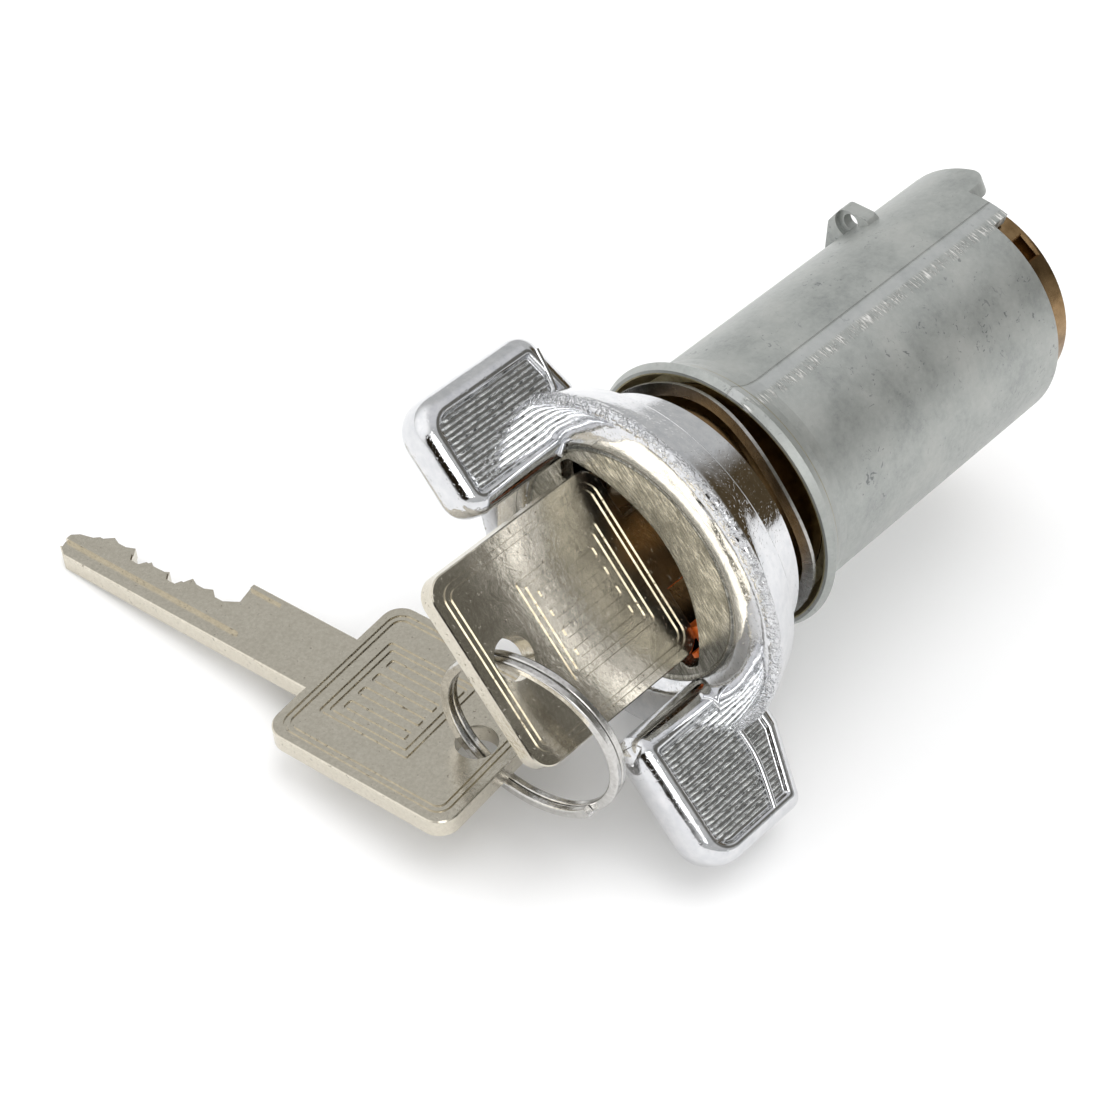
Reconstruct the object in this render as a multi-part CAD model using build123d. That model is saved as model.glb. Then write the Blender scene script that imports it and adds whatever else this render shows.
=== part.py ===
"""Key lock cylinder with a turning knob, two keys and a split ring.

Frame: the lock's axis is Y, the knob and keys face -Y, and the sleeve runs to +Y. The origin is on the
axis, in the plane of the sleeve's mouth. Z is up with the lock laid down on one ear, which rolls the
keyway about Y by ROLL. Every piece is first drawn unrolled, with the key's width along X and the key's
thickness along Z, and is turned by ROLL as it is written.
"""

import os
from math import cos, pi, radians, sin

from build123d import *

# ---- Driving dimensions, in millimetres and degrees ----
ROLL = 39.8

# Sleeve
SLEEVE_R = 14.0
SLEEVE_LENGTH = 42.5
MOUTH_R = 15.45
LIP_R = 15.9
LIP_Y = 0.8
FLARE_END = 5.0
RECESS_R = 14.95
RECESS_FLOOR_R = 13.6
RECESS_DEPTH = 3.0
TONGUE_ANGLE = 166.0
TONGUE_HALF_WIDTH = 5.8
TONGUE_LENGTH = 6.8
TONGUE_CORNER = 2.4
TONGUE_BORE_R = 12.6
COLLAR_START_ANGLE = 119.5
COLLAR_LENGTH = 2.6
SIDEBAR_GROOVE_DEPTH = 0.7
LUG_Y = 35.4
LUG_THICK = 1.8
LUG_CORNERS = [(-11.0, -6.2), (-13.4, -5.2), (-16.1, -2.3), (-16.7, 0.6), (-14.4, 3.0), (-11.0, 3.0)]
LUG_HOLE_X = -14.8
LUG_HOLE_Z = 0.1
LUG_HOLE_R = 0.95
LUG_CBORE_R = 1.7
LUG_CBORE_DEPTH = 0.6

# Rotor
ROTOR_R = 12.3
RUNNING_GAP = 0.05
ROTOR_FRONT = -4.2
ROTOR_REAR = 46.5
SPIGOT_R = 11.0
SPIGOT_BORE_R = 10.2
SPIGOT_FRONT = -7.6
DRIVE_SLOT_WIDTH = 4.0
DRIVE_SLOT_DEPTH = 3.5
DRIVE_SLOT_HALF_LENGTH = 8.5
SIDE_POCKET_ANGLE = 103.0
SIDE_POCKET_WIDTH = 2.7
SIDE_POCKET_Y = (44.1, 45.9)
SIDE_POCKET_FLOOR_R = 10.4
SIDE_POCKET_EDGE = 0.3
SNAP_Y = 37.5
SNAP_WIRE = 0.9

# Knob
RIM_R = 20.3
RIM_Y = -13.4
RIM_REAR_R = 18.76
RIM_REAR_Y = -9.5
NECK_FRONT_R = 16.6
NECK_REAR_R = 15.2
BEVEL_R = 13.76
BEVEL_Y = -13.0
CUP_R = 12.6
CUP_FLOOR = -8.4
WEB_FRONT = -12.7
WEB_BACK = -11.4
LENS_R = 17.0
LENS_HALF_WIDTH = 6.8
EAR_HALF_THICK = 2.9
EAR_EDGE = 1.2
PAD_DEPTH = 0.5
PAD_RIM = 2.4
KNOB_PIN_X = (-6.0, 6.0)
KNOB_PIN_Y = -6.3
KNOB_PIN_R = 0.9

# Wave washer
WASHER_Y = -1.5
WASHER_WAVE = 0.75
WASHER_PHASE = 1.36
WASHER_THICK = 0.4

# Each ear's inner edge, tip, front and rear, as signed X and Y
EARS = [
    {"inner": -12.9, "tip": -25.9, "front": -27.1, "rear": -7.4},
    {"inner": 13.7, "tip": 30.7, "front": -25.7, "rear": -8.2},
]

# Plug, keyway and tumblers
PLUG_R = 7.95
PLUG_BORE_R = 8.0
PLUG_FRONT = -4.0
PLUG_REAR = 35.5
KEYWAY_HALF_WIDTH = 4.45
KEYWAY_HALF_THICK = 1.25
KEYWAY_END = 28.0
FACE_THICK = 0.8
TUMBLER_THICK = 0.9
TUMBLER_SLOT = 1.0
TUMBLER_TOP = 6.5
TUMBLER_BOTTOM = -5.9
TUMBLER_HALF_WIDTH = 3.55
TUMBLER_SLOT_HALF_WIDTH = 3.7
TUMBLER_WINDOW_TOP = 2.0
SPRING_WIRE = 0.22
SIDEBAR_SPRING_Y = (4.25, 21.7)
SIDEBAR_SLOT_Y = (3.3, 22.7)

# Keys
KEY_THICK = 2.29
BOW_WIDTH = 22.0
BOW_LENGTH = 24.1
BOW_CORNER = 2.4
SHOULDER_Y = -11.0
BLADE_HALF_WIDTH = 4.3
BLADE_LENGTH = 37.1
RING_HOLE_R = 2.3
RING_HOLE_INSET = 4.4
CUT_START = 14.9
CUTS = [(16.6, 0.6), (19.6, 0.9), (22.6, -0.5), (25.3, 0.2), (28.0, -0.5), (31.3, 0.8)]
CUT_FLAT = 0.55
PEAK_RISE = 0.45
KEY_EDGE = 0.14
TOP_GROOVE_X = (-3.35, -2.15)
TOP_GROOVE_START = 11.5
TOP_GROOVE_DEPTH = 0.55
UNDER_GROOVE_X = (0.9, 2.0)
UNDER_GROOVE_DEPTH = 0.5
CUT_LEDGE_X = 0.1
CUT_LEDGE_DEPTH = 0.4
CUTTER_RUNOUT_R = 3.4
LINE_WIDTH = 0.3
LINE_DEPTH = 0.18
SLOT_FRAME = 12.0
SLOT_FRAME_Y = -9.3

# Split ring and the spare key that hangs on it
RING_CENTRE = (8.25, -30.3, -4.7)
RING_NORMAL = (-0.161, 0.985, -0.063)
RING_R = 9.95
RING_WIRE_RADIAL = 1.1
RING_WIRE_AXIAL = 0.8
RING_PITCH = 0.88
SPARE_SHOULDER = (-6.04, -32.91, -27.8)
SPARE_WIDTH_AXIS = (-0.0912, 0.9953, -0.0331)
SPARE_FACE_AXIS = (-0.7268, -0.0438, 0.6854)

# Orange plunger, that the key's shoulder presses in
PLUNGER_X = (9.0, 10.2)
PLUNGER_Z = (-1.0, 2.2)
PLUNGER_REAR = -1.2
PLUNGER_ARM_Y = (-10.7, -9.6)
PLUNGER_LIP_X = (11.2, 11.9)
PLUNGER_LIP_Z = (0.2, 1.1)
PLUNGER_LIP_FRONT = -12.2
PLUNGER_POCKET_END = 1.0
PLUNGER_GAP = 0.1


# ---- Shape helpers ----
def rod(radius, y0, y1, x=0.0, z=0.0):
    """A cylinder along Y."""
    return Pos(x, (y0 + y1) / 2, z) * Rot(90, 0, 0) * Cylinder(radius, y1 - y0)


def tube(outer, inner, y0, y1):
    """A tube along Y, its bore cut past both ends."""
    return rod(outer, y0, y1) - rod(inner, y0 - 1, y1 + 1)


def block(x0, x1, y0, y1, z0, z1):
    """A box from its low and high corners."""
    return Pos((x0 + x1) / 2, (y0 + y1) / 2, (z0 + z1) / 2) * Box(x1 - x0, y1 - y0, z1 - z0)


def turned(points):
    """A solid of revolution about Y from (radius, y) points."""
    profile = make_face(Polyline(*points, close=True))
    return revolve(profile, Axis.Y, 360)


def coil(radius, wire, length, turns, place):
    """A coil spring along its local Z, from 0 to length, set down at place."""
    pitch = (length - wire) / turns
    path = Helix(pitch, length - wire, radius, center=(0, 0, wire / 2))
    section = Plane(origin=path @ 0, z_dir=path % 0) * Circle(wire / 2)
    return place * sweep(section, path, is_frenet=True)


def write(name, *solids):
    """Roll a finished piece into place and write its STEP file."""
    rolled = [Rot(0, ROLL, 0) * solid for solid in solids]
    export_step(rolled[0] if len(rolled) == 1 else Compound(rolled), f"parts/{name}.step")


# ---- Sleeve ----
def sleeve_housing():
    """Sleeve with flared mouth, rear tongue, side lug and the sidebar's groove."""
    bore = ROTOR_R + RUNNING_GAP
    body = turned([
        (RECESS_R, 0), (MOUTH_R, 0), (LIP_R, LIP_Y), (14.9, 2.4), (14.3, 3.6), (SLEEVE_R, FLARE_END),
        (SLEEVE_R, SLEEVE_LENGTH), (bore, SLEEVE_LENGTH), (bore, RECESS_DEPTH),
        (RECESS_FLOOR_R, RECESS_DEPTH),
    ])
    body += tongue() + rear_collar()
    body += lug() - rod(SLEEVE_R - 0.8, LUG_Y - 1, LUG_Y + LUG_THICK + 1)
    snap_groove_r = ROTOR_R + SNAP_WIRE / 2 + 0.1
    body -= tube(snap_groove_r, bore - 1, SNAP_Y - SNAP_WIRE / 2, SNAP_Y + SNAP_WIRE / 2)
    body -= block(-1.2, 1.2, *SIDEBAR_SLOT_Y, bore - 0.5, bore + SIDEBAR_GROOVE_DEPTH)
    return body


def rear_collar():
    """Part of the sleeve's wall that stands a little longer, beside the tongue."""
    wall = tube(SLEEVE_R, TONGUE_BORE_R, SLEEVE_LENGTH - 2, SLEEVE_LENGTH + COLLAR_LENGTH)
    reach = 2 * SLEEVE_R
    corners = [(0, SLEEVE_LENGTH - 3, 0)]
    for angle in (COLLAR_START_ANGLE, (COLLAR_START_ANGLE + TONGUE_ANGLE) / 2, TONGUE_ANGLE):
        corners.append((reach * cos(radians(angle)), SLEEVE_LENGTH - 3, reach * sin(radians(angle))))
    wedge = extrude(make_face(Polyline(*corners, close=True)), COLLAR_LENGTH + 6, dir=(0, 1, 0))
    return wall & wedge


def tongue():
    """Rounded tongue that carries the sleeve's wall on past the rear rim."""
    wall = tube(SLEEVE_R, TONGUE_BORE_R, SLEEVE_LENGTH - 2, SLEEVE_LENGTH + TONGUE_LENGTH)
    outward = (cos(radians(TONGUE_ANGLE)), 0, sin(radians(TONGUE_ANGLE)))
    outline = Plane(origin=(0, SLEEVE_LENGTH, 0), x_dir=(0, 1, 0), z_dir=outward)
    cutter = extrude(outline * RectangleRounded(2 * TONGUE_LENGTH, 2 * TONGUE_HALF_WIDTH, TONGUE_CORNER), 20)
    return wall & cutter


def lug():
    """Rounded plate across the axis with a counterbored screw hole."""
    y1 = LUG_Y + LUG_THICK
    outline = make_face(Polyline(*[(x, LUG_Y, z) for x, z in LUG_CORNERS], close=True))
    plate = extrude(outline, LUG_THICK, dir=(0, 1, 0))
    plate = fillet(plate.edges().filter_by(Axis.Y).sort_by(Axis.X)[:4], 0.9)
    plate -= rod(LUG_HOLE_R, LUG_Y - 1, y1 + 1, LUG_HOLE_X, LUG_HOLE_Z)
    plate -= rod(LUG_CBORE_R, LUG_Y - 1, LUG_Y + LUG_CBORE_DEPTH, LUG_HOLE_X, LUG_HOLE_Z)
    return plate


def retaining_ring():
    """Open snap ring of round wire, seated in the sleeve's groove."""
    radius = ROTOR_R + 0.08
    ring = Pos(0, SNAP_Y, 0) * Rot(90, 0, 0) * Torus(radius, SNAP_WIRE / 2 - 0.05)
    return ring - block(-3, 3, SNAP_Y - 2, SNAP_Y + 2, -20, 0)


# ---- Knob ----
def ear_outline(ear, inset):
    """An ear's outline, drawn in from its edges, as a face in the keyway's plane."""
    width = abs(ear["tip"] - ear["inner"]) - 2 * inset
    length = ear["rear"] - ear["front"] - 2 * inset
    centre = Pos((ear["tip"] + ear["inner"]) / 2, (ear["front"] + ear["rear"]) / 2, 0)
    return centre * RectangleRounded(width, length, max(3.4 - inset, 1.2))


def ear_body(ear):
    """One finger ear with rounded edges and a recessed pad on each face."""
    body = extrude(ear_outline(ear, 0), EAR_HALF_THICK, both=True)
    flat_edges = body.edges().filter_by(GeomType.LINE) + body.edges().filter_by(GeomType.CIRCLE)
    body = fillet(flat_edges.filter_by(lambda e: abs(abs(e.center().Z) - EAR_HALF_THICK) < 0.01), EAR_EDGE)
    pad = extrude(Pos(0, 1 - PAD_RIM, 0) * ear_outline(ear, PAD_RIM), PAD_DEPTH)
    body -= Pos(0, 0, EAR_HALF_THICK - PAD_DEPTH) * pad
    body -= Pos(0, 0, -EAR_HALF_THICK) * pad
    return body


def knob_bezel():
    """Chromed knob: collar, conical neck, crescent webs beside the key, and two ears."""
    body = turned([
        (SPIGOT_R, ROTOR_FRONT), (NECK_REAR_R, ROTOR_FRONT), (NECK_FRONT_R, RIM_REAR_Y),
        (RIM_REAR_R, RIM_REAR_Y), (RIM_R, RIM_Y), (19.4, -14.0), (17.4, -14.4), (15.2, -14.1),
        (BEVEL_R, BEVEL_Y), (CUP_R, WEB_FRONT), (CUP_R, CUP_FLOOR), (SPIGOT_R, CUP_FLOOR),
    ])
    lens_offset = LENS_R - LENS_HALF_WIDTH
    lens = rod(LENS_R, -16, -8, 0, lens_offset) & rod(LENS_R, -16, -8, 0, -lens_offset)
    body += rod(CUP_R + 0.4, WEB_FRONT, WEB_BACK) - lens
    for ear in EARS:
        body += ear_body(ear)
    body -= rod(SPIGOT_R, CUP_FLOOR, ROTOR_FRONT)
    for x in KNOB_PIN_X:
        body -= Pos(x, KNOB_PIN_Y, -15) * Cylinder(KNOB_PIN_R, 16)
    return body


def knob_pins():
    """Two pins driven through the underside of the neck into the rotor's spigot."""
    return [Pos(x, KNOB_PIN_Y, -11.35) * Cylinder(KNOB_PIN_R, 5.7) for x in KNOB_PIN_X]


def wave_washer():
    """Spring washer with three waves: a wavy ring-shaped face given a thickness along Y."""
    edges = []
    for radius in (13.05, 14.5):
        points = []
        for step in range(36):
            angle = 2 * pi * step / 36
            wave = WASHER_Y + WASHER_WAVE * cos(3 * angle - WASHER_PHASE)
            points.append((radius * cos(angle), wave, radius * sin(angle)))
        edges.append(Spline(*points, periodic=True))
    strip = Face.make_surface_from_curves(edges[0].edge(), edges[1].edge())
    return extrude(strip, WASHER_THICK, dir=(0, 1, 0))


# ---- Rotor and plug ----
def rotor_body():
    """Barrel that turns in the sleeve, with a blind bore for the plug, a drive slot and a side pocket."""
    body = rod(ROTOR_R, ROTOR_FRONT, ROTOR_REAR) + rod(SPIGOT_R - 0.02, SPIGOT_FRONT, ROTOR_FRONT)
    body -= rod(SPIGOT_BORE_R, SPIGOT_FRONT - 1, PLUG_FRONT)
    body -= rod(PLUG_BORE_R, PLUG_FRONT - 1, PLUG_REAR + 0.1)
    body -= block(-DRIVE_SLOT_HALF_LENGTH, DRIVE_SLOT_HALF_LENGTH, ROTOR_REAR - DRIVE_SLOT_DEPTH,
                  ROTOR_REAR + 1, -DRIVE_SLOT_WIDTH / 2, DRIVE_SLOT_WIDTH / 2)
    body -= side_pocket()
    groove = tube(ROTOR_R + 1, ROTOR_R - SNAP_WIRE / 2 - 0.25, SNAP_Y - 0.6, SNAP_Y + 0.6)
    body -= groove
    body -= sidebar_slot()
    for x in KNOB_PIN_X:
        body -= Pos(x, KNOB_PIN_Y, -11.3) * Cylinder(KNOB_PIN_R, 6)
    body -= plunger_pocket(SPIGOT_FRONT - 1)
    return body


def side_pocket():
    """Rectangular pocket with bevelled edges, in the barrel's side behind the sleeve."""
    y0, y1 = SIDE_POCKET_Y
    length = y1 - y0
    centre = Pos(0, (y0 + y1) / 2, 0)
    depth = ROTOR_R - SIDE_POCKET_FLOOR_R + 1
    hole = centre * Pos(0, 0, SIDE_POCKET_FLOOR_R + depth / 2) * Box(SIDE_POCKET_WIDTH, length, depth)
    grow = 4 * SIDE_POCKET_EDGE
    low = centre * Pos(0, 0, ROTOR_R - SIDE_POCKET_EDGE) * Rectangle(SIDE_POCKET_WIDTH, length)
    high_width, high_length = SIDE_POCKET_WIDTH + grow, length + grow
    high = centre * Pos(0, 0, ROTOR_R + SIDE_POCKET_EDGE) * Rectangle(high_width, high_length)
    return (hole + loft([low, high])).rotate(Axis.Y, 90 - SIDE_POCKET_ANGLE)


def sidebar_slot():
    """Slot for the sidebar, through the rotor's wall and into the plug."""
    return block(-1.0, 1.0, *SIDEBAR_SLOT_Y, TUMBLER_SLOT_HALF_WIDTH, 20)


def sidebar():
    """Locking bar, flush with the rotor as it is with the right key in."""
    bar = block(-0.9, 0.9, 3.5, 22.5, TUMBLER_SLOT_HALF_WIDTH + 0.05, ROTOR_R - 0.1)
    top_edges = bar.edges().filter_by(Axis.Y).sort_by(Axis.Z)[-2:]
    return chamfer(top_edges, 0.5)


def sidebar_springs():
    """Two coil springs under the ends of the sidebar."""
    return [coil(0.5, SPRING_WIRE, 2.1, 4, Pos(0, y, 1.6)) for y in SIDEBAR_SPRING_Y]


def tumbler_y(index):
    """Where a tumbler stands, from its cut on the key."""
    return SHOULDER_Y + CUTS[index][0]


def key_plug():
    """Plug with the keyway, six tumbler slots and the spring pockets."""
    body = rod(PLUG_R, PLUG_FRONT, PLUG_REAR)
    body -= block(-KEYWAY_HALF_WIDTH, KEYWAY_HALF_WIDTH, PLUG_FRONT - 1, KEYWAY_END,
                  -KEYWAY_HALF_THICK, KEYWAY_HALF_THICK)
    for index in range(len(CUTS)):
        y = tumbler_y(index)
        half = TUMBLER_SLOT / 2
        body -= block(-7.2, 7.2, y - half, y + half, -TUMBLER_SLOT_HALF_WIDTH, TUMBLER_SLOT_HALF_WIDTH)
        body -= block(-0.9, 2.0, y - half, y + half, -6.2, -TUMBLER_SLOT_HALF_WIDTH)
        body -= Pos(3.4, y, -4.9) * Rot(0, 90, 0) * Cylinder(0.9, 3.8)
    body -= sidebar_slot()
    for y in SIDEBAR_SPRING_Y:
        body -= Pos(0, y, 2.6) * Cylinder(0.75, 2.4)
    return body


def tumbler(index):
    """Plate tumbler with a window for the blade and a spring lug."""
    y = tumbler_y(index)
    half = TUMBLER_THICK / 2
    body = block(TUMBLER_BOTTOM, TUMBLER_TOP, y - half, y + half, -TUMBLER_HALF_WIDTH, TUMBLER_HALF_WIDTH)
    body -= block(-4.9, TUMBLER_WINDOW_TOP, y - 1, y + 1, -1.55, 1.55)
    body += block(0.6, 1.5, y - half, y + half, -5.9, -TUMBLER_HALF_WIDTH)
    body -= block(-0.5 + 0.3 * (index % 3), 0.5 + 0.3 * (index % 3), y - 1, y + 1, 3.2, 4)
    return body


def tumbler_springs():
    """Six coil springs, one above each tumbler's lug."""
    springs = []
    for index in range(len(CUTS)):
        place = Pos(2.0, tumbler_y(index), -4.9) * Rot(0, 90, 0)
        springs.append(coil(0.62, SPRING_WIRE, 3.1, 5, place))
    return springs


def face_plate():
    """Plate that closes the rotor's front, with the keyway, a round hole and the plunger's opening."""
    plate = rod(SPIGOT_BORE_R - 0.05, PLUG_FRONT - FACE_THICK, PLUG_FRONT)
    plate -= block(-4.6, 4.6, -20, 0, -1.4, 1.4)
    plate -= rod(0.8, -20, 0, -5.2, 5.6)
    return plate - plunger_pocket(-20)


# ---- Orange plunger ----
def plunger_pocket(front):
    """Pocket for the plunger's stem, from a given front plane back into the rotor's wall."""
    (x0, x1), (z0, z1) = PLUNGER_X, PLUNGER_Z
    gap = PLUNGER_GAP
    return block(x0 - gap, x1 + gap, front, PLUNGER_POCKET_END, z0 - gap, z1 + gap)


def warning_actuator():
    """Orange plastic plunger: a stem behind the key's shoulder, and a lip on an arm beside the bow."""
    (x0, x1), (z0, z1) = PLUNGER_X, PLUNGER_Z
    lip_x0, lip_x1 = PLUNGER_LIP_X
    stem = block(x0, x1, SHOULDER_Y + 0.02, PLUNGER_REAR, z0, z1)
    arm = block(x0, lip_x1, *PLUNGER_ARM_Y, *PLUNGER_LIP_Z)
    lip = block(lip_x0, lip_x1, PLUNGER_LIP_FRONT, PLUNGER_ARM_Y[1], *PLUNGER_LIP_Z)
    return stem + arm + fillet(lip.edges().filter_by(Axis.Z).sort_by(Axis.Y)[:2], 0.2)


def actuator_spring():
    """Coil spring between the plunger's foot and the rotor."""
    place = Pos(sum(PLUNGER_X) / 2, PLUNGER_REAR, sum(PLUNGER_Z) / 2) * Rot(-90, 0, 0)
    return coil(0.5, 0.16, PLUNGER_POCKET_END - PLUNGER_REAR, 4, place)


# ---- Keys ----
def blade_outline():
    """Blade from its shoulder, cut edge to +X and tip to +Y, as (x, y) points."""
    points = [(BLADE_HALF_WIDTH, -2.0), (BLADE_HALF_WIDTH, CUT_START), (1.6, CUT_START - 0.5)]
    for index, (place, level) in enumerate(CUTS):
        points.append((level, place - CUT_FLAT))
        points.append((level, place + CUT_FLAT))
        if index + 1 < len(CUTS):
            after, after_level = CUTS[index + 1]
            points.append((max(level, after_level) + PEAK_RISE, (place + after) / 2))
    points += [(1.2, 32.8), (-0.3, 34.6), (-0.7, 36.2), (-1.4, BLADE_LENGTH)]
    points += [(-2.4, BLADE_LENGTH), (-3.4, BLADE_LENGTH - 0.3)]
    points += [(-BLADE_HALF_WIDTH, BLADE_LENGTH - 1.6), (-BLADE_HALF_WIDTH, -2.0)]
    return points


def frame_line(width, length, corner, place):
    """A thin closed rounded line, as a face."""
    outer = RectangleRounded(width, length, corner)
    inner = RectangleRounded(width - 2 * LINE_WIDTH, length - 2 * LINE_WIDTH, corner - LINE_WIDTH)
    return place * (outer - inner)


def bow_lines():
    """Plain decoration for a bow's face: a double border, and four slim slots in a double frame."""
    middle = Pos(0, -BOW_LENGTH / 2, 0)
    faces = [
        frame_line(BOW_WIDTH - 2.0, BOW_LENGTH - 2.0, 1.9, middle),
        frame_line(BOW_WIDTH - 3.4, BOW_LENGTH - 3.4, 1.3, middle),
        frame_line(SLOT_FRAME, SLOT_FRAME, 0.5, Pos(0, SLOT_FRAME_Y, 0)),
        frame_line(SLOT_FRAME - 1.6, SLOT_FRAME - 1.6, 0.4, Pos(0, SLOT_FRAME_Y, 0)),
    ]
    for column in (-1.5, -0.5, 0.5, 1.5):
        faces.append(frame_line(1.4, SLOT_FRAME - 3.6, 0.4, Pos(2.3 * column, SLOT_FRAME_Y, 0)))
    return faces


def key_blank():
    """A key with its shoulder edge on Y = 0, bow to -Y, upper face on Z = 0."""
    middle = Pos(0, -BOW_LENGTH / 2, 0)
    outline = middle * RectangleRounded(BOW_WIDTH, BOW_LENGTH, BOW_CORNER)
    outline += make_face(Polyline(*blade_outline(), close=True))
    body = extrude(outline, -KEY_THICK)
    levels = body.edges().group_by(Axis.Z)
    body = chamfer(levels[0] + levels[-1], KEY_EDGE)
    body -= Pos(0, RING_HOLE_INSET - BOW_LENGTH, 0) * Cylinder(RING_HOLE_R, 4 * KEY_THICK)
    past_tip = BLADE_LENGTH + 1
    groove_x0, groove_x1 = TOP_GROOVE_X
    groove = block(groove_x0, groove_x1, TOP_GROOVE_START, past_tip, -TOP_GROOVE_DEPTH, 1)
    groove += Pos((groove_x0 + groove_x1) / 2, TOP_GROOVE_START, (1 - TOP_GROOVE_DEPTH) / 2) * Cylinder(
        (groove_x1 - groove_x0) / 2, 1 + TOP_GROOVE_DEPTH)
    body -= groove
    under = UNDER_GROOVE_DEPTH - KEY_THICK
    body -= block(*UNDER_GROOVE_X, TOP_GROOVE_START, past_tip, -KEY_THICK - 1, under)
    body -= block(CUT_LEDGE_X, 5, CUT_START - 0.3, past_tip, -CUT_LEDGE_DEPTH, 1)
    runout = Pos(2.3, CUT_START - 1.7, 0.3) * Cylinder(CUTTER_RUNOUT_R, 1.4)
    body -= runout - block(3.6, 9, 0, CUT_START, -3, 3)
    cut = extrude(Sketch(bow_lines()), LINE_DEPTH)
    body -= Pos(0, 0, -LINE_DEPTH) * cut
    body -= Pos(0, 0, -KEY_THICK) * cut
    return body


def key_inserted():
    """Key 1, in the keyway."""
    return Pos(0, SHOULDER_Y, KEY_THICK / 2) * key_blank()


def key_spare():
    """Key 2, where it lies on the split ring."""
    face = Plane(origin=SPARE_SHOULDER, x_dir=SPARE_WIDTH_AXIS, z_dir=SPARE_FACE_AXIS)
    return face.location * key_blank()


# ---- Split ring ----
def split_ring():
    """Two turns of flat wire side by side, with their ends open."""
    path = Helix(RING_PITCH, 1.94 * RING_PITCH, RING_R, center=(0, 0, -0.97 * RING_PITCH))
    section = Plane(origin=path @ 0, x_dir=(1, 0, 0), z_dir=path % 0)
    wire = sweep(section * RectangleRounded(RING_WIRE_RADIAL, RING_WIRE_AXIAL, 0.2), path, is_frenet=True)
    return Plane(origin=RING_CENTRE, x_dir=(1, 0, 0), z_dir=RING_NORMAL).location * wire


def main():
    os.makedirs("parts", exist_ok=True)
    write("sleeve_housing", sleeve_housing())
    write("retaining_ring", retaining_ring())
    write("wave_washer", wave_washer())
    write("knob_bezel", knob_bezel())
    write("knob_pins", *knob_pins())
    write("rotor_body", rotor_body())
    write("key_plug", key_plug())
    write("plug_face_plate", face_plate())
    for index in range(len(CUTS)):
        write(f"tumbler_{index + 1}", tumbler(index))
    write("tumbler_springs", *tumbler_springs())
    write("sidebar", sidebar())
    write("sidebar_springs", *sidebar_springs())
    write("warning_actuator", warning_actuator())
    write("actuator_spring", actuator_spring())
    write("key_inserted", key_inserted())
    write("key_spare", key_spare())
    write("split_ring", split_ring())


main()
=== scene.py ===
"""Key lock cylinder with a turning knob, two keys and a split ring.

Shapes are drawn in millimetres in the lock's own unrolled axes, where X is the key's width, Y the lock's
axis towards the rear and Z the key's thickness. TO_ROW turns and scales them into the frame.
"""

from math import cos, degrees, hypot, pi, radians, sin, sqrt, tan

import bpy
from mathutils import Euler, Matrix, Vector


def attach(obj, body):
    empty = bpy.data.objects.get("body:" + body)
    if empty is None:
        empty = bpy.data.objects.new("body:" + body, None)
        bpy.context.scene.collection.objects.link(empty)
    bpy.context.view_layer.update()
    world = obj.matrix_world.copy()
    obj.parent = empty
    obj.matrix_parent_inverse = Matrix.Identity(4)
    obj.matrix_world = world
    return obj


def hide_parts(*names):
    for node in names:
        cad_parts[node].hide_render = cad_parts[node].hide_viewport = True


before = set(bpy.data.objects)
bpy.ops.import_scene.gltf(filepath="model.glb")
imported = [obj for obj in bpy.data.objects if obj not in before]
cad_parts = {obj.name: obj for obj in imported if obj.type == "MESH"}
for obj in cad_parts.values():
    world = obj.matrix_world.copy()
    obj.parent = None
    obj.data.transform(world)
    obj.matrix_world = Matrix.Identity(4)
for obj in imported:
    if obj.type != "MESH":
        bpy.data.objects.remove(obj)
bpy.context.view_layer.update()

MM = 0.001
ROLL = radians(39.8)
UNROLL = Matrix.Rotation(-ROLL, 3, "Y")
TO_ROW = Matrix.Rotation(ROLL, 4, "Y") @ Matrix.Scale(MM, 4)

# ---- Sizes, in millimetres ----
FLOOR_Z = -24.3
FLOOR_HALF_SIZE = 3000.0
NECK_REAR_R = 15.2
NECK_FRONT_R = 16.6
RIM_REAR_R = 18.76
RIM_REAR_Y = -9.5
RIM_R = 20.3
RIM_Y = -13.4
BEVEL_R = 13.76
CUP_R = 12.6
CUP_FLOOR = -8.4
SPIGOT_R = 11.0
NECK_REAR_Y = -4.2
LENS_R = 17.3
LENS_HALF_WIDTH = 6.1
SHELF_R = BEVEL_R - 0.5
SHELF_Y = -12.86
SHELF_REAR_Y = -10.9
EAR_LEAN = {"ear_upper": 0.0, "ear_lower": radians(-2.0)}
EAR_HALF_THICK = 2.9
PAD_INSET = 2.5
PAD_DEPTH = 0.55
RIDGE_PITCH = 0.56
RIDGE_HEIGHT = 0.38
RIDGE_HALF_WIDTH = RIDGE_PITCH * 0.33
RIDGE_ROOT = 0.05
RIDGE_STEP = 0.42
RIDGE_SHORTEST = 0.8
SMALLEST_CORNER = 0.35
WELD_HALF_WIDTH = 0.42
WELD_SHOULDER = 0.3
# Knots of the raised line across each ear's pad, as (x, y)
WELDS = {
    "ear_upper": [(-23.6, -10.3), (-19.6, -10.9), (-15.2, -12.8), (-13.6, -14.6)],
    "ear_lower": [(14.6, -15.6), (16.4, -14.3), (22.8, -13.6), (28.6, -14.9)],
}

# Ear outlines, as (x, y, corner radius)
UPPER_EAR = [
    (-13.0, -27.0, 2.8), (-25.8, -27.0, 3.8), (-25.8, -9.8, 2.4), (-18.6, -8.0, 2.0), (-13.0, -8.8, 1.0),
]
LOWER_EAR = [
    (13.8, -25.6, 2.0), (30.6, -25.0, 4.2), (30.6, -11.0, 1.6), (22.0, -8.3, 1.5), (13.8, -8.8, 1.0),
]

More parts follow.
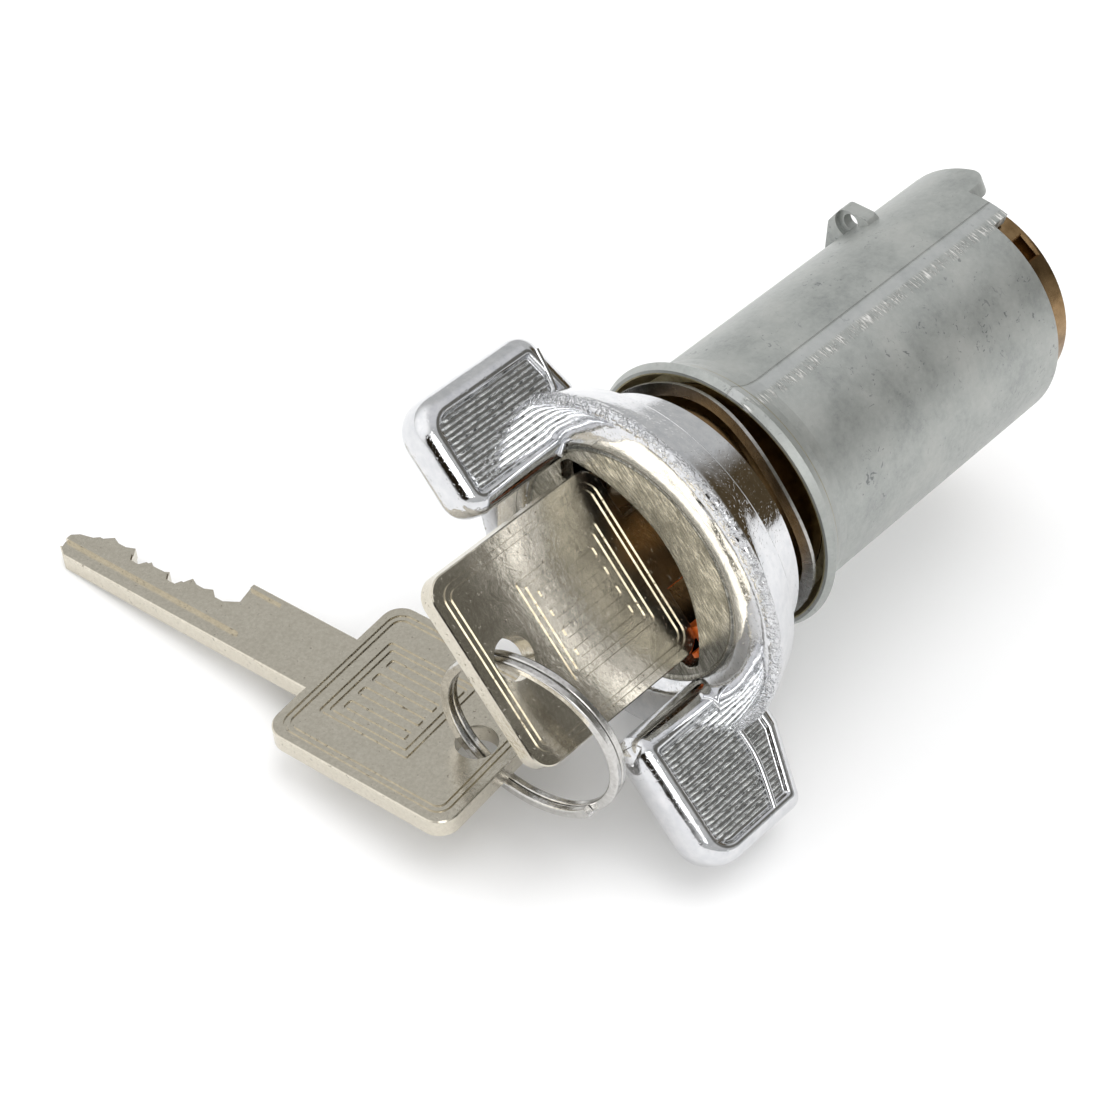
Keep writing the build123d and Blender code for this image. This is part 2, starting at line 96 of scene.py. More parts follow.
# Zones of the metals: radii, Ys and depths in millimetres, angles about the axis in degrees
CRATER_RADII = (19.5, 20.6)
CRATER_YS = (-14.35, -13.5)
SEAM_ANGLES = (129.4, 129.9)
CHATTER_ANGLES = (118.2, 122.8)
POLISHED_ANGLES = (123.5, 129.0)
MOUTH_WALL_DEPTH, MOUTH_WALL_R = 2.25, 15.1
MOUTH_STEP_DEPTH, MOUTH_STEP_R = 3.05, 14.4

CHROME_ROUGH = 0.05
CHROME_RIPPLE = 0.05

# The spare key's width and face directions, in the frame
SPARE_WIDTH = (-0.0912, 0.9953, -0.0331)
SPARE_FACE = (-0.7268, -0.0438, 0.6854)

# Points round each corner of an outline, and rings round a full turn
CORNER_STEPS = 10
COLLAR_STEPS = 256
CRESCENT_STEPS = 192

# ---- Stage: lens and sensor in millimetres, turns in degrees, lights in metres and watts ----
CAMERA_LENS = 88.96
CAMERA_SENSOR = 36
CAMERA_PLACE = (111.05, -164.79, 204.41)
CAMERA_TURN = (42.562, -3.534, 42.291)
FLOOR_COLOUR = (0.92, 0.92, 0.92)
ROOM_COLOUR = (0.62, 0.625, 0.62)

# Soft round patches laid over the room: direction, inner and outer angle, colour
ROOM_PATCHES = [
    ((-0.53, -0.63, 0.57), 15, 60, (1.35, 1.35, 1.35)),
    ((0.0, 0.15, 1.0), 15, 40, (0.80, 0.80, 0.82)),
    ((0.27, 0.95, 0.17), 11, 26, (0.09, 0.065, 0.035)),
    ((0.62, 0.51, 0.59), 12, 28, (0.17, 0.165, 0.15)),
    ((0.36, -0.87, 0.32), 13, 23, (0.02, 0.014, 0.008)),
    ((0.64, -0.53, 0.56), 12, 18, (4.2, 4.2, 4.2)),
]


# ---- Mesh helpers ----
def add_piece(name, points, faces, body, material, angle):
    """A smooth mesh piece from unrolled millimetre points, riding on a body; edges past angle are sharp."""
    mesh = bpy.data.meshes.new(name)
    mesh.from_pydata([TO_ROW @ Vector(p) for p in points], [], faces)
    mesh.validate()
    mesh.update()
    piece = bpy.data.objects.new(name, mesh)
    bpy.context.scene.collection.objects.link(piece)
    mesh.materials.append(material)
    mesh.shade_smooth()
    mesh.set_sharp_from_angle(angle=radians(angle))
    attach(piece, body)
    return piece


def loft(rings, wrap=False):
    """A skin through rings of one point count, joined end to end or closed by a face at each end."""
    count = len(rings[0])
    points = [p for ring in rings for p in ring]
    faces = []
    spans = len(rings) if wrap else len(rings) - 1
    for row in range(spans):
        after = (row + 1) % len(rings)
        for i in range(count):
            j = (i + 1) % count
            faces.append((row * count + i, row * count + j, after * count + j, after * count + i))
    if not wrap:
        faces.append(tuple(reversed(range(count))))
        faces.append(tuple((len(rings) - 1) * count + i for i in range(count)))
    return points, faces


def merge(parts):
    """Several (points, faces) pairs as one."""
    points, faces = [], []
    for part_points, part_faces in parts:
        start = len(points)
        points += part_points
        faces += [tuple(start + i for i in face) for face in part_faces]
    return points, faces


def smooth_line(knots, steps):
    """Points on a Catmull-Rom curve through the knots."""
    result = []
    for i in range(len(knots) - 1):
        before = Vector(knots[max(i - 1, 0)])
        start, end = Vector(knots[i]), Vector(knots[i + 1])
        after = Vector(knots[min(i + 2, len(knots) - 1)])
        for step in range(steps):
            t = step / steps
            a = 2 * start
            b = end - before
            c = 2 * before - 5 * start + 4 * end - after
            d = 3 * start - before - 3 * end + after
            result.append(tuple(0.5 * (a + b * t + c * t * t + d * t ** 3)))
    result.append(tuple(knots[-1]))
    return result


def spun(profile):
    """Points and faces of a closed (radius, y) profile turned about Y."""
    rings = []
    for step in range(COLLAR_STEPS):
        angle = 2 * pi * step / COLLAR_STEPS
        rings.append([(r * cos(angle), y, r * sin(angle)) for r, y in profile])
    return loft(rings, wrap=True)


# ---- Outlines ----
def inset_corners(corners, depth):
    """Corners of a convex outline moved in by depth, with smaller radii."""
    count = len(corners)
    twice_area = 0
    for i in range(count):
        (x0, y0, _), (x1, y1, _) = corners[i], corners[(i + 1) % count]
        twice_area += x0 * y1 - x1 * y0
    side = 1 if twice_area > 0 else -1
    lines = []
    for i in range(count):
        (x0, y0, _), (x1, y1, _) = corners[i], corners[(i + 1) % count]
        length = hypot(x1 - x0, y1 - y0)
        nx, ny = -side * (y1 - y0) / length, side * (x1 - x0) / length
        lines.append((nx, ny, nx * x0 + ny * y0 + depth))
    moved = []
    for i in range(count):
        (a, b, c), (d, e, f) = lines[i - 1], lines[i]
        det = a * e - b * d
        radius = max(corners[i][2] - depth, SMALLEST_CORNER)
        moved.append(((c * e - b * f) / det, (a * f - c * d) / det, radius))
    return moved


def rounded(corners):
    """Outline points with an arc at each corner."""
    points = []
    count = len(corners)
    for i in range(count):
        x, y, radius = corners[i]
        corner = Vector((x, y))
        back = (Vector(corners[i - 1][:2]) - corner).normalized()
        ahead = (Vector(corners[(i + 1) % count][:2]) - corner).normalized()
        half = back.angle(ahead) / 2
        reach = radius / tan(half)
        centre = corner + (back + ahead).normalized() * (radius / sin(half))
        start = corner + back * reach - centre
        end = corner + ahead * reach - centre
        turn = start.angle_signed(end)
        for step in range(CORNER_STEPS + 1):
            angle = -turn * step / CORNER_STEPS
            point = centre + Matrix.Rotation(angle, 2) @ start
            points.append((point.x, point.y))
    return points


def span_at(outline, x):
    """Lowest and highest Y where a line of constant X crosses an outline."""
    hits = []
    for i in range(len(outline)):
        (x0, y0), (x1, y1) = outline[i - 1], outline[i]
        if (x0 - x) * (x1 - x) < 0:
            hits.append(y0 + (y1 - y0) * (x - x0) / (x1 - x0))
    return (min(hits), max(hits)) if len(hits) > 1 else None


# ---- Knob ----
def knob_profile():
    """Closed profile of the collar and neck, as (radius, y)."""
    crest = smooth_line([
        (RIM_REAR_R + 0.05, RIM_REAR_Y - 0.12), (19.35, -10.9), (19.95, -12.3), (RIM_R, RIM_Y),
        (20.1, -14.0), (19.45, -14.35), (18.2, -14.45), (16.6, -14.4), (15.1, -14.0), (14.2, -13.4),
        (BEVEL_R, -12.95),
    ], 5)
    neck = [
        (SPIGOT_R, NECK_REAR_Y), (NECK_REAR_R - 0.25, NECK_REAR_Y), (NECK_REAR_R, NECK_REAR_Y - 0.2),
        (NECK_REAR_R + 0.55, -6.4), (NECK_FRONT_R - 0.15, -8.7), (NECK_FRONT_R, -9.2),
        (NECK_FRONT_R + 0.35, RIM_REAR_Y), (RIM_REAR_R - 0.1, RIM_REAR_Y),
    ]
    inside = [(CUP_R, -12.7), (CUP_R, CUP_FLOOR), (SPIGOT_R, CUP_FLOOR)]
    return neck + crest + inside


def lens_reach(angle):
    """Distance from the axis to the eye-shaped opening's edge in a direction."""
    offset = LENS_R - LENS_HALF_WIDTH
    s = abs(sin(angle))
    reach = -offset * s + sqrt(LENS_R ** 2 - (offset * cos(angle)) ** 2)
    return min(reach, CUP_R - 0.1)


def crescent():
    """The two sloping satin shelves beside the key, with a raised border line."""
    rings = []
    for step in range(CRESCENT_STEPS):
        angle = 2 * pi * step / CRESCENT_STEPS
        reach = lens_reach(angle)
        line = [
            (BEVEL_R + 0.05, -12.5), (BEVEL_R + 0.02, -13.02), (BEVEL_R - 0.12, -13.16),
            (BEVEL_R - 0.34, -13.1), (SHELF_R, SHELF_Y),
        ]
        depth = (SHELF_R - reach) / (SHELF_R - LENS_HALF_WIDTH)
        for share in (0.3, 0.6, 0.85):
            radius = SHELF_R + (reach - SHELF_R) * share
            line.append((radius, SHELF_Y + depth * (0.2 * share + 0.7 * share ** 2)))
        line += [(reach + 0.06, SHELF_Y + 0.92 * depth), (reach, SHELF_Y + 0.11 + 0.95 * depth)]
        line += [(reach, SHELF_REAR_Y), (SHELF_R, SHELF_REAR_Y)]
        rings.append([(r * cos(angle), y, r * sin(angle)) for r, y in line])
    return loft(rings, wrap=True)


def ear_rings(corners):
    """Rings of one half of an ear from its mid-plane up over the rim to the pad's floor."""
    top = EAR_HALF_THICK
    floor = top - PAD_DEPTH
    section = [
        (0, 0), (0.03, top - 2.0), (0.15, top - 1.4), (0.38, top - 0.95), (0.7, top - 0.55),
        (1.1, top - 0.24), (1.5, top - 0.06), (1.85, top), (2.08, top - 0.08), (2.25, top - 0.3),
        (PAD_INSET - 0.12, floor + 0.04), (PAD_INSET, floor), (PAD_INSET + 0.6, floor),
    ]
    rings = []
    for depth, height in section:
        rings.append([(x, y, height) for x, y in rounded(inset_corners(corners, depth))])
    return rings


def scatter(i, j):
    """A fixed, random-looking share from 0 to 1 for two counts."""
    return sin(j * 12.9898 + i * 78.233) * 43758.5453 % 1.0


def ridges(corners):
    """Fine bars along Y on an ear's pad, broken here and there like worn tooling."""
    pad = rounded(inset_corners(corners, PAD_INSET + 0.1))
    xs = [x for x, _ in pad]
    floor = EAR_HALF_THICK - PAD_DEPTH
    parts = []
    count = int((max(xs) - min(xs)) / RIDGE_PITCH)
    for i in range(count):
        x = min(xs) + (i + 0.5) * (max(xs) - min(xs)) / count
        span = span_at(pad, x)
        if not span or span[1] - span[0] < RIDGE_SHORTEST:
            continue
        low, high = span
        half = RIDGE_HALF_WIDTH
        pieces = int((high - low) / RIDGE_STEP)
        rings = []
        for j in range(pieces + 1):
            y = low + (high - low) * j / pieces
            tall = RIDGE_HEIGHT * (0.62 + 0.38 * scatter(i, j))
            if j in (0, pieces):
                tall *= 0.3
            rings.append([
                (x - half, y, floor - RIDGE_ROOT), (x - half * 0.65, y, floor + tall * 0.65),
                (x - half * 0.25, y, floor + tall), (x + half * 0.25, y, floor + tall),
                (x + half * 0.65, y, floor + tall * 0.65), (x + half, y, floor - RIDGE_ROOT),
            ])
        parts.append(loft(rings))
    return merge(parts)


def weld(knots):
    """A raised rounded line across a pad, through (x, y) knots."""
    line = smooth_line([(x, y, 0) for x, y in knots], 12)
    floor = EAR_HALF_THICK - PAD_DEPTH - RIDGE_ROOT
    crest = EAR_HALF_THICK + 0.04
    shoulder = crest - WELD_SHOULDER
    section = [(-1, floor), (-0.85, shoulder), (-0.4, crest), (0.4, crest), (0.85, shoulder), (1, floor)]
    rings = []
    for i, (x, y, _) in enumerate(line):
        behind, ahead = Vector(line[max(i - 1, 0)]), Vector(line[min(i + 1, len(line) - 1)])
        side = (ahead - behind).normalized().cross(Vector((0, 0, 1))) * WELD_HALF_WIDTH
        rings.append([(x + side.x * share, y + side.y * share, height) for share, height in section])
    return loft(rings)


def leaned(part, pivot_x, angle):
    """A part turned about its inner edge, so that its tip leans."""
    points, faces = part
    lean = Matrix.Rotation(-angle, 3, "Y")
    pivot = Vector((pivot_x, 0, 0))
    return [tuple(pivot + lean @ (Vector(p) - pivot)) for p in points], faces


def mirrored(part):
    """A part reflected through the keyway's plane."""
    points, faces = part
    return [(x, y, -z) for x, y, z in points], [tuple(reversed(face)) for face in faces]


def build_knob(chrome, ear_chrome, satin, pad_chrome):
    """Collar, crescents and ribbed ears, in place of the plain CAD knob."""
    points, faces = spun(knob_profile())
    collar = add_piece("knob_collar", points, faces, "rotor", chrome, angle=35)
    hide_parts("knob_bezel")
    points, faces = crescent()
    shelf = add_piece("knob_crescents", points, faces, "rotor", satin, angle=50)
    for name, corners in (("ear_upper", UPPER_EAR), ("ear_lower", LOWER_EAR)):
        up = ear_rings(corners)
        down = [[(x, y, -z) for x, y, z in ring] for ring in reversed(up[1:])]
        line = weld(WELDS[name])
        shell = leaned(merge([loft(down + up), line, mirrored(line)]), corners[0][0], EAR_LEAN[name])
        ear = add_piece(name, *shell, "rotor", ear_chrome, angle=60)
        ribs = ridges(corners)
        both = leaned(merge([ribs, mirrored(ribs)]), corners[0][0], EAR_LEAN[name])
        pad = add_piece(name + "_ridges", *both, "rotor", pad_chrome, angle=50)


# ---- Material helpers ----
class Metal:
    """A material, metal unless it is set otherwise, whose colour, roughness and bump come from noise."""

    def __init__(self, name, turn=UNROLL):
        self.material = bpy.data.materials.new(name)
        self.material.use_nodes = True
        self.tree = self.material.node_tree
        self.shader = self.tree.nodes["Principled BSDF"]
        self.shader.inputs["Metallic"].default_value = 1.0
        where = self.node("ShaderNodeTexCoord")
        turned = self.node("ShaderNodeMapping")
        turned.inputs["Rotation"].default_value = turn.to_euler()
        turned.inputs["Scale"].default_value = (1 / MM,) * 3
        self.join(where.outputs["Object"], turned.inputs["Vector"])
        self.place = turned.outputs["Vector"]
        self.normal = None

    def node(self, kind, **settings):
        made = self.tree.nodes.new(kind)
        for key, value in settings.items():
            setattr(made, key, value)
        return made

    def join(self, source, target):
        self.tree.links.new(source, target)

    def stretched(self, stretch):
        """The place, in millimetres, scaled along each unrolled axis."""
        mapping = self.node("ShaderNodeMapping")
        mapping.inputs["Scale"].default_value = stretch
        self.join(self.place, mapping.inputs["Vector"])
        return mapping.outputs["Vector"]

    def noise(self, scale, stretch=(1, 1, 1), detail=4, rough=0.55, bend=0.0):
        """Noise with about scale cells per millimetre."""
        made = self.node("ShaderNodeTexNoise")
        made.inputs["Scale"].default_value = scale
        made.inputs["Detail"].default_value = detail
        made.inputs["Roughness"].default_value = rough
        made.inputs["Distortion"].default_value = bend
        self.join(self.stretched(stretch), made.inputs["Vector"])
        return made.outputs["Fac"]

    def ramp(self, factor, stops):
        """A colour ramp of (place, colour or grey) stops."""
        made = self.node("ShaderNodeValToRGB")
        elements = made.color_ramp.elements
        while len(elements) < len(stops):
            elements.new(0.5)
        for element, (at, colour) in zip(elements, stops):
            element.position = at
            grey = (colour,) * 3 if isinstance(colour, (int, float)) else colour
            element.color = (*grey, 1)
        self.join(factor, made.inputs["Fac"])
        return made.outputs["Color"]

    def math(self, kind, a, b):
        """A Math node on sockets or numbers."""
        made = self.node("ShaderNodeMath", operation=kind)
        for socket, value in zip(made.inputs, (a, b)):
            if isinstance(value, (int, float)):
                socket.default_value = value
            else:
                self.join(value, socket)
        return made.outputs[0]

    def mix(self, factor, a, b):
        """Two colours mixed by a factor."""
        made = self.node("ShaderNodeMix", data_type="RGBA")
        for socket, value in ((made.inputs[0], factor), (made.inputs[6], a), (made.inputs[7], b)):
            if isinstance(value, (int, float)):
                socket.default_value = value
            elif isinstance(value, tuple):
                socket.default_value = (*value, 1)
            else:
                self.join(value, socket)
        return made.outputs[2]

    def bump(self, height, distance, invert=False):
        """Adds a bump layer; distance is in millimetres."""
        made = self.node("ShaderNodeBump", invert=invert)
        made.inputs["Strength"].default_value = 1.0
        made.inputs["Distance"].default_value = distance * MM
        self.join(height, made.inputs["Height"])
        if self.normal:
            self.join(self.normal, made.inputs["Normal"])
        self.normal = made.outputs["Normal"]

    def finish(self, colour, rough):
        """Connects colour, roughness and the bump layers to the shader."""
        self.join(colour, self.shader.inputs["Base Color"])
        self.join(rough, self.shader.inputs["Roughness"])
        if self.normal:
            self.join(self.normal, self.shader.inputs["Normal"])
        return self.material


def coordinate(metal, index):
    """One unrolled coordinate of the place, in millimetres."""
    split = metal.node("ShaderNodeSeparateXYZ")
    metal.join(metal.place, split.inputs[0])
    return split.outputs[index]


def distance_from_axis(metal):
    """Distance from the lock's axis, in millimetres."""
    x, z = coordinate(metal, 0), coordinate(metal, 2)
    squares = metal.math("ADD", metal.math("MULTIPLY", x, x), metal.math("MULTIPLY", z, z))
    return metal.math("POWER", squares, 0.5)


def angle_about_axis(metal):
    """Angle about the lock's axis, in degrees."""
    turn = metal.math("ARCTAN2", coordinate(metal, 2), coordinate(metal, 0))
    return metal.math("MULTIPLY", turn, degrees(1))


def band(metal, value, low, high, soft):
    """1 where value is between low and high, with soft edges."""
    parts = []
    for edge, start, end in ((low, 0, 1), (high, 1, 0)):
        made = metal.node("ShaderNodeMapRange", interpolation_type="SMOOTHSTEP")
        made.inputs["From Min"].default_value = edge - soft
        made.inputs["From Max"].default_value = edge + soft
        made.inputs["To Min"].default_value = start
        made.inputs["To Max"].default_value = end
        metal.join(value, made.inputs["Value"])
        parts.append(made.outputs[0])
    return metal.math("MULTIPLY", *parts)


def within(metal, depth, radius, most_depth, most_radius):
    """1 where the place is in front of a depth and nearer the axis than a radius."""
    in_front = metal.math("LESS_THAN", depth, most_depth)
    return metal.math("MULTIPLY", in_front, metal.math("LESS_THAN", radius, most_radius))


# ---- Materials ----
def make_chrome(name, craters=False):
    """Decorative chrome over a die casting: mirror-like, with pits and a ripple, and craters on a crest."""
    metal = Metal(name)
    if craters:
        rim = band(metal, distance_from_axis(metal), *CRATER_RADII, 0.2)
        crest = metal.math("MULTIPLY", rim, band(metal, coordinate(metal, 1), *CRATER_YS, 0.2))
        holes = metal.ramp(metal.noise(1.5, detail=3, rough=0.55, bend=0.8), [(0.42, 0), (0.58, 1)])
        metal.bump(metal.math("MULTIPLY", holes, crest), 0.25)
    metal.bump(metal.noise(0.32, detail=2), CHROME_RIPPLE)
    metal.bump(metal.noise(1.7, detail=3, rough=0.6), CHROME_RIPPLE * 0.16)
    pits = metal.ramp(metal.noise(3.2, detail=2, rough=0.4), [(0.60, 0), (0.72, 1)])
    metal.bump(pits, 0.008, invert=True)
    haze = metal.noise(0.9, detail=5)
    colour = metal.ramp(haze, [(0.3, (0.60, 0.61, 0.63)), (0.7, (0.72, 0.72, 0.73))])
    gloss = metal.ramp(haze, [(0.35, CHROME_ROUGH), (0.75, CHROME_ROUGH + 0.07)])
    return metal.finish(colour, gloss)


def make_pad_chrome():
    """Chrome of the ribs on the pads: coarse grain from dark to bright."""
    metal = Metal("chrome_pad")
    grain = metal.noise(2.4, stretch=(1.0, 0.5, 1.0), detail=6, rough=0.72)
    metal.bump(grain, 0.22)
    tones = [(0.38, (0.18, 0.185, 0.18)), (0.47, (0.66, 0.67, 0.66)), (0.58, (0.97, 0.98, 0.97))]
    colour = metal.ramp(grain, tones)
    gloss = metal.ramp(metal.noise(1.4), [(0.3, 0.10), (0.7, 0.24)])
    return metal.finish(colour, gloss)


def make_satin():
    """Worn satin metal of the crescents, with long marks, specks and dark clouds."""
    metal = Metal("satin_crescent")
    long_marks = metal.noise(1.3, stretch=(0.6, 1, 3.2), detail=6, rough=0.7, bend=0.4)
    specks = metal.noise(3.5, detail=4, rough=0.7)
    metal.bump(long_marks, 0.05)
    metal.bump(specks, 0.03)
    clouds = metal.noise(0.28, detail=4, rough=0.6)
    tones = [(0.36, (0.11, 0.105, 0.085)), (0.5, (0.31, 0.30, 0.265)), (0.64, (0.62, 0.60, 0.54))]
    colour = metal.ramp(long_marks, tones)
    colour = metal.mix(metal.ramp(clouds, [(0.40, 0.65), (0.62, 0.0)]), colour, (0.13, 0.125, 0.10))
    gloss = metal.ramp(specks, [(0.3, 0.16), (0.7, 0.30)])
    return metal.finish(colour, gloss)


def make_zinc():
    """Zinc-plated sleeve: clouds, flecks, spots, a seam line, chatter marks and an olive mouth."""
    metal = Metal("zinc_sleeve")
    metal.shader.inputs["Metallic"].default_value = 0.6
    clouds = metal.noise(0.16, detail=6, rough=0.62)
    flecks = metal.noise(1.5, detail=5, rough=0.7)
    marks = metal.noise(0.7, stretch=(2.6, 0.16, 2.6), detail=5, rough=0.65)
    spots = metal.ramp(metal.noise(1.1, detail=4, rough=0.6, bend=1.4), [(0.62, 0), (0.67, 1)])
    patches = metal.ramp(metal.noise(0.11, detail=2), [(0.45, 0.15), (0.62, 1)])
    spots = metal.math("MULTIPLY", spots, patches)
    angle = angle_about_axis(metal)
    seam = band(metal, angle, *SEAM_ANGLES, 0.25)
    chatter_zone = band(metal, angle, *CHATTER_ANGLES, 1.6)
    polished = band(metal, angle, *POLISHED_ANGLES, 0.8)
    ticks = metal.noise(1.0, stretch=(0.5, 4.2, 0.5), detail=3, rough=0.6)
    chatter = metal.math("MULTIPLY", metal.ramp(ticks, [(0.50, 0), (0.60, 1)]), chatter_zone)
    metal.bump(flecks, 0.035)
    metal.bump(marks, 0.02)
    metal.bump(chatter, 0.12)
    metal.bump(seam, 0.10, invert=True)
    tones = [(0.32, (0.27, 0.285, 0.275)), (0.5, (0.355, 0.37, 0.355)), (0.68, (0.43, 0.44, 0.42))]
    base = metal.ramp(clouds, tones)
    base = metal.mix(metal.ramp(flecks, [(0.35, 0.0), (0.75, 0.4)]), base, (0.51, 0.52, 0.50))
    base = metal.mix(metal.math("MULTIPLY", spots, 0.75), base, (0.13, 0.14, 0.145))
    base = metal.mix(metal.math("MULTIPLY", chatter, 0.9), base, (0.86, 0.85, 0.82))
    base = metal.mix(metal.math("MULTIPLY", polished, 0.25), base, (0.60, 0.61, 0.63))
    gloss = metal.ramp(clouds, [(0.3, 0.34), (0.7, 0.5)])
    along = coordinate(metal, 1)
    radius = distance_from_axis(metal)
    wall = within(metal, along, radius, MOUTH_WALL_DEPTH, MOUTH_WALL_R)
    step = within(metal, along, radius, MOUTH_STEP_DEPTH, MOUTH_STEP_R)
    olive = metal.ramp(flecks, [(0.3, (0.22, 0.19, 0.10)), (0.7, (0.40, 0.36, 0.22))])
    base = metal.mix(metal.math("MAXIMUM", wall, step), base, olive)
    return metal.finish(base, gloss)


def make_nickel(name, turn):
    """Nickel-plated key: pebbled and faintly brushed, with small dark pits and handling marks."""
    metal = Metal(name, turn)
    brushed = metal.noise(1.4, stretch=(2.0, 0.25, 2.0), detail=4, rough=0.6)
    wear = metal.noise(0.22, detail=4, rough=0.6)
    pebbles = metal.noise(2.6, detail=4, rough=0.65)
    pits = metal.ramp(metal.noise(1.9, detail=3, rough=0.6), [(0.66, 0), (0.71, 1)])
    metal.bump(wear, 0.10)
    metal.bump(pebbles, 0.009)
    metal.bump(brushed, 0.003)
    metal.bump(pits, 0.03, invert=True)
    colour = metal.ramp(pebbles, [(0.3, (0.55, 0.51, 0.425)), (0.7, (0.66, 0.62, 0.53))])
    colour = metal.mix(metal.math("MULTIPLY", pits, 0.5), colour, (0.17, 0.14, 0.10))
    gloss = metal.ramp(wear, [(0.3, 0.15), (0.7, 0.27)])
    return metal.finish(colour, gloss)


def make_plain_metal(name, dark, light, rough, grain=1.2, stretch=(1, 1, 1)):
    """A metal with fine grain between two colours."""
    metal = Metal(name)
    fine = metal.noise(grain, stretch=stretch, detail=6, rough=0.65)
    broad = metal.noise(0.3, detail=3)
    metal.bump(fine, 0.02)
    colour = metal.ramp(fine, [(0.3, dark), (0.7, light)])
    gloss = metal.ramp(broad, [(0.3, rough * 0.8), (0.7, rough * 1.3)])
    return metal.finish(colour, gloss)


def make_plastic():
    """Moulded orange plastic."""
    metal = Metal("orange_plastic")
    metal.shader.inputs["Metallic"].default_value = 0.0
    fine = metal.noise(2.0, detail=4)
    metal.bump(fine, 0.015)
    colour = metal.ramp(fine, [(0.3, (0.75, 0.13, 0.015)), (0.7, (0.92, 0.21, 0.03))])
    return metal.finish(colour, metal.ramp(fine, [(0.3, 0.28), (0.7, 0.4)]))


def dress(node, material):
    """Gives a CAD node a procedural material."""
    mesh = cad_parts[node].data
    mesh.materials.clear()
    mesh.materials.append(material)


def spare_key_turn():
    """Rotation that takes the spare key's noise to its own width, length and face directions."""
    width = Vector(SPARE_WIDTH).normalized()
    face = Vector(SPARE_FACE).normalized()
    along = face.cross(width)
    return Matrix((width, along, face)) @ UNROLL


def dress_all():
    """Materials for every CAD node that stays."""
    steel = make_plain_metal("spring_steel", (0.34, 0.33, 0.31), (0.56, 0.55, 0.53), 0.24, 1.6)
    bronze = make_plain_metal("bronze_rotor", (0.16, 0.095, 0.04), (0.34, 0.225, 0.115), 0.2, 0.5)
    brass = make_plain_metal("plug_metal", (0.42, 0.32, 0.16), (0.64, 0.52, 0.30), 0.3, 1.1)
    face = make_plain_metal("face_plate", (0.50, 0.45, 0.38), (0.74, 0.69, 0.62), 0.24, 1.3, (3, 1, 0.3))
    stamped = make_plain_metal("tumbler_brass", (0.50, 0.37, 0.17), (0.74, 0.58, 0.30), 0.28, 1.8)
    ring = make_plain_metal("ring_steel", (0.48, 0.47, 0.45), (0.70, 0.69, 0.67), 0.14, 2.0)
    key = make_nickel("nickel_key", UNROLL)
    spare = make_nickel("nickel_key_spare", spare_key_turn())
    plan = {
        "sleeve_housing": make_zinc(), "retaining_ring": steel, "wave_washer": steel, "knob_pins": steel,
        "rotor_body": bronze, "key_plug": brass, "plug_face_plate": face, "tumbler_springs": steel,
        "sidebar": brass, "sidebar_springs": steel, "warning_actuator": make_plastic(),
        "actuator_spring": steel, "key_inserted": key, "key_spare": spare, "split_ring": ring,
        "knob_bezel": steel,
    }
    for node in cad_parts:
        dress(node, plan.get(node, stamped))


# ---- Stage ----
def build_floor():
    """A plain pale floor."""
    size = FLOOR_HALF_SIZE * MM
    z = FLOOR_Z * MM
    corners = [(-size, -size, z), (size, -size, z), (size, size, z), (-size, size, z)]
    mesh = bpy.data.meshes.new("floor")
    mesh.from_pydata(corners, [], [(0, 1, 2, 3)])
    floor = bpy.data.objects.new("floor", mesh)
    bpy.context.scene.collection.objects.link(floor)
    material = bpy.data.materials.new("floor_pale")
    material.use_nodes = True
    shader = material.node_tree.nodes["Principled BSDF"]
    shader.inputs["Base Color"].default_value = (*FLOOR_COLOUR, 1)
    shader.inputs["Roughness"].default_value = 0.9
    shader.inputs["Specular IOR Level"].default_value = 0.0
    mesh.materials.append(material)


def softbox(name, direction, distance, size, power):
    """A rectangular area light, placed in a direction from the origin and aimed back at it."""
    data = bpy.data.lights.new(name, "AREA")
    data.shape = "RECTANGLE"
    data.size, data.size_y = size
    data.energy = power
    light = bpy.data.objects.new(name, data)
    light.location = Vector(direction).normalized() * distance
    light.rotation_euler = (-light.location).to_track_quat("-Z", "Y").to_euler()
    bpy.context.scene.collection.objects.link(light)
    light.visible_glossy = False


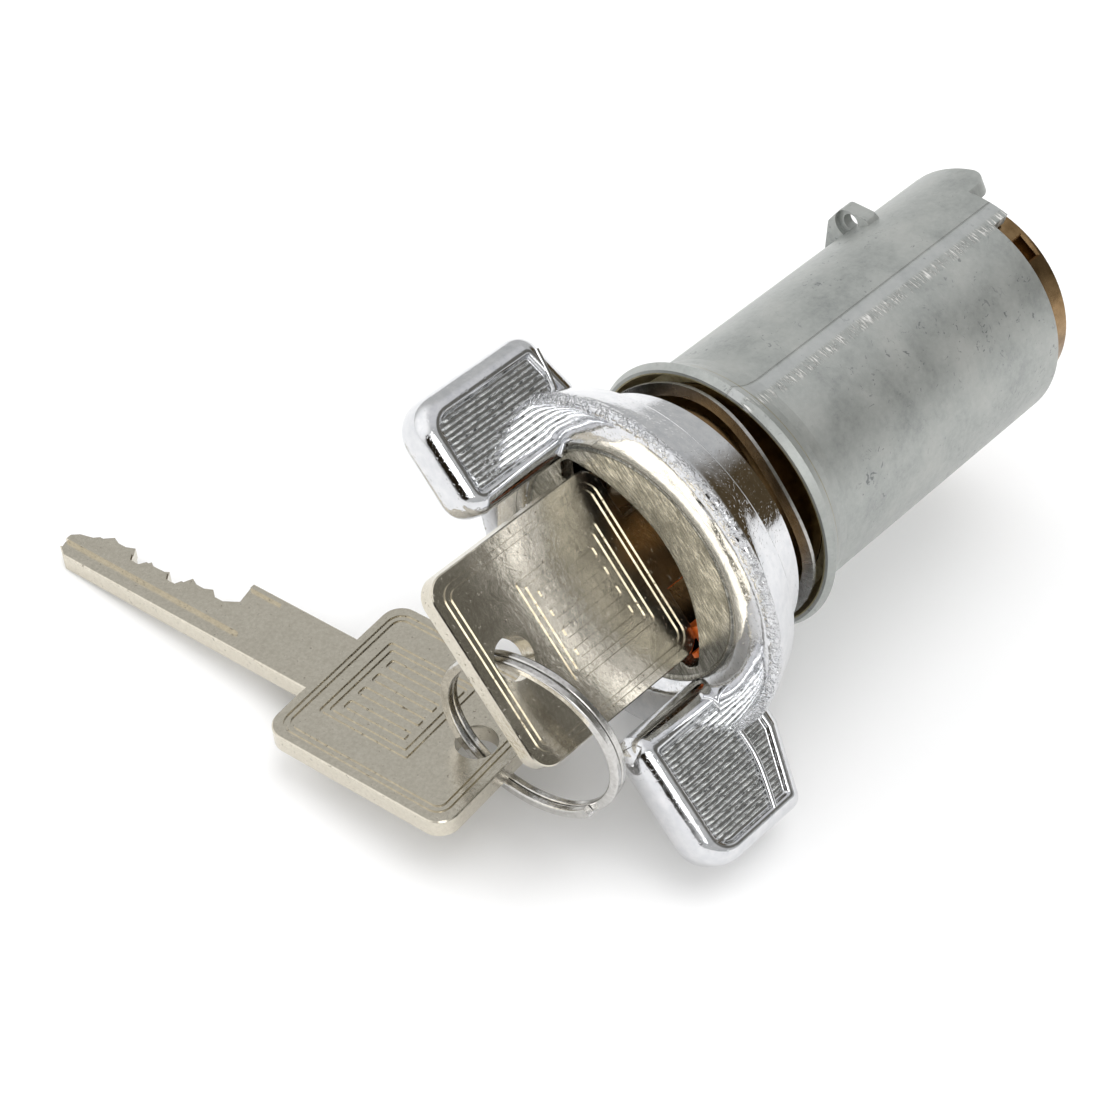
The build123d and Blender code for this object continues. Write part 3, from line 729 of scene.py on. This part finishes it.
def room_patch(tree, where, direction, inner, outer, colour, under):
    """Lays a soft round patch of colour over the room, between two angles from a direction."""
    dot = tree.nodes.new("ShaderNodeVectorMath")
    dot.operation = "DOT_PRODUCT"
    dot.inputs[1].default_value = Vector(direction).normalized()
    spread = tree.nodes.new("ShaderNodeMapRange")
    spread.interpolation_type = "SMOOTHSTEP"
    spread.inputs["From Min"].default_value = cos(radians(outer))
    spread.inputs["From Max"].default_value = cos(radians(inner))
    mix = tree.nodes.new("ShaderNodeMix")
    mix.data_type = "RGBA"
    mix.inputs[7].default_value = (*colour, 1)
    tree.links.new(where.outputs["Generated"], dot.inputs[0])
    tree.links.new(dot.outputs["Value"], spread.inputs["Value"])
    tree.links.new(spread.outputs[0], mix.inputs[0])
    if isinstance(under, tuple):
        mix.inputs[6].default_value = (*under, 1)
    else:
        tree.links.new(under, mix.inputs[6])
    return mix.outputs[2]


def build_world():
    """A pale grey room with bright, grey and dark patches, which the metals mirror."""
    world = bpy.data.worlds.new("studio")
    bpy.context.scene.world = world
    world.use_nodes = True
    tree = world.node_tree
    tree.nodes.clear()
    where = tree.nodes.new("ShaderNodeTexCoord")
    room = ROOM_COLOUR
    for direction, inner, outer, colour in ROOM_PATCHES:
        room = room_patch(tree, where, direction, inner, outer, colour, room)
    background = tree.nodes.new("ShaderNodeBackground")
    background.inputs["Strength"].default_value = 1.0
    output = tree.nodes.new("ShaderNodeOutputWorld")
    tree.links.new(room, background.inputs["Color"])
    tree.links.new(background.outputs[0], output.inputs["Surface"])


def build_lights():
    """Large soft boxes that light the floor and the matt surfaces, and aren't mirrored in the chrome."""
    softbox("overhead", (0.1, 0.2, 1.0), 1.1, (1.0, 1.0), 6.0)
    softbox("left_fill", (-0.8, -0.3, 0.6), 1.2, (0.8, 0.6), 2.5)


def build_camera():
    """The camera, above and to the right of the knob."""
    data = bpy.data.cameras.new("camera")
    data.lens = CAMERA_LENS
    data.sensor_width = CAMERA_SENSOR
    camera = bpy.data.objects.new("camera", data)
    camera.location = Vector(CAMERA_PLACE) * MM
    camera.rotation_euler = Euler([radians(turn) for turn in CAMERA_TURN])
    bpy.context.scene.collection.objects.link(camera)
    bpy.context.scene.camera = camera


def main():
    bpy.context.scene.view_settings.view_transform = "Standard"
    build_camera()
    build_floor()
    build_world()
    build_lights()
    dress_all()
    collar_chrome = make_chrome("chrome_collar", craters=True)
    ear_chrome = make_chrome("chrome_ear")
    build_knob(collar_chrome, ear_chrome, make_satin(), make_pad_chrome())


main()
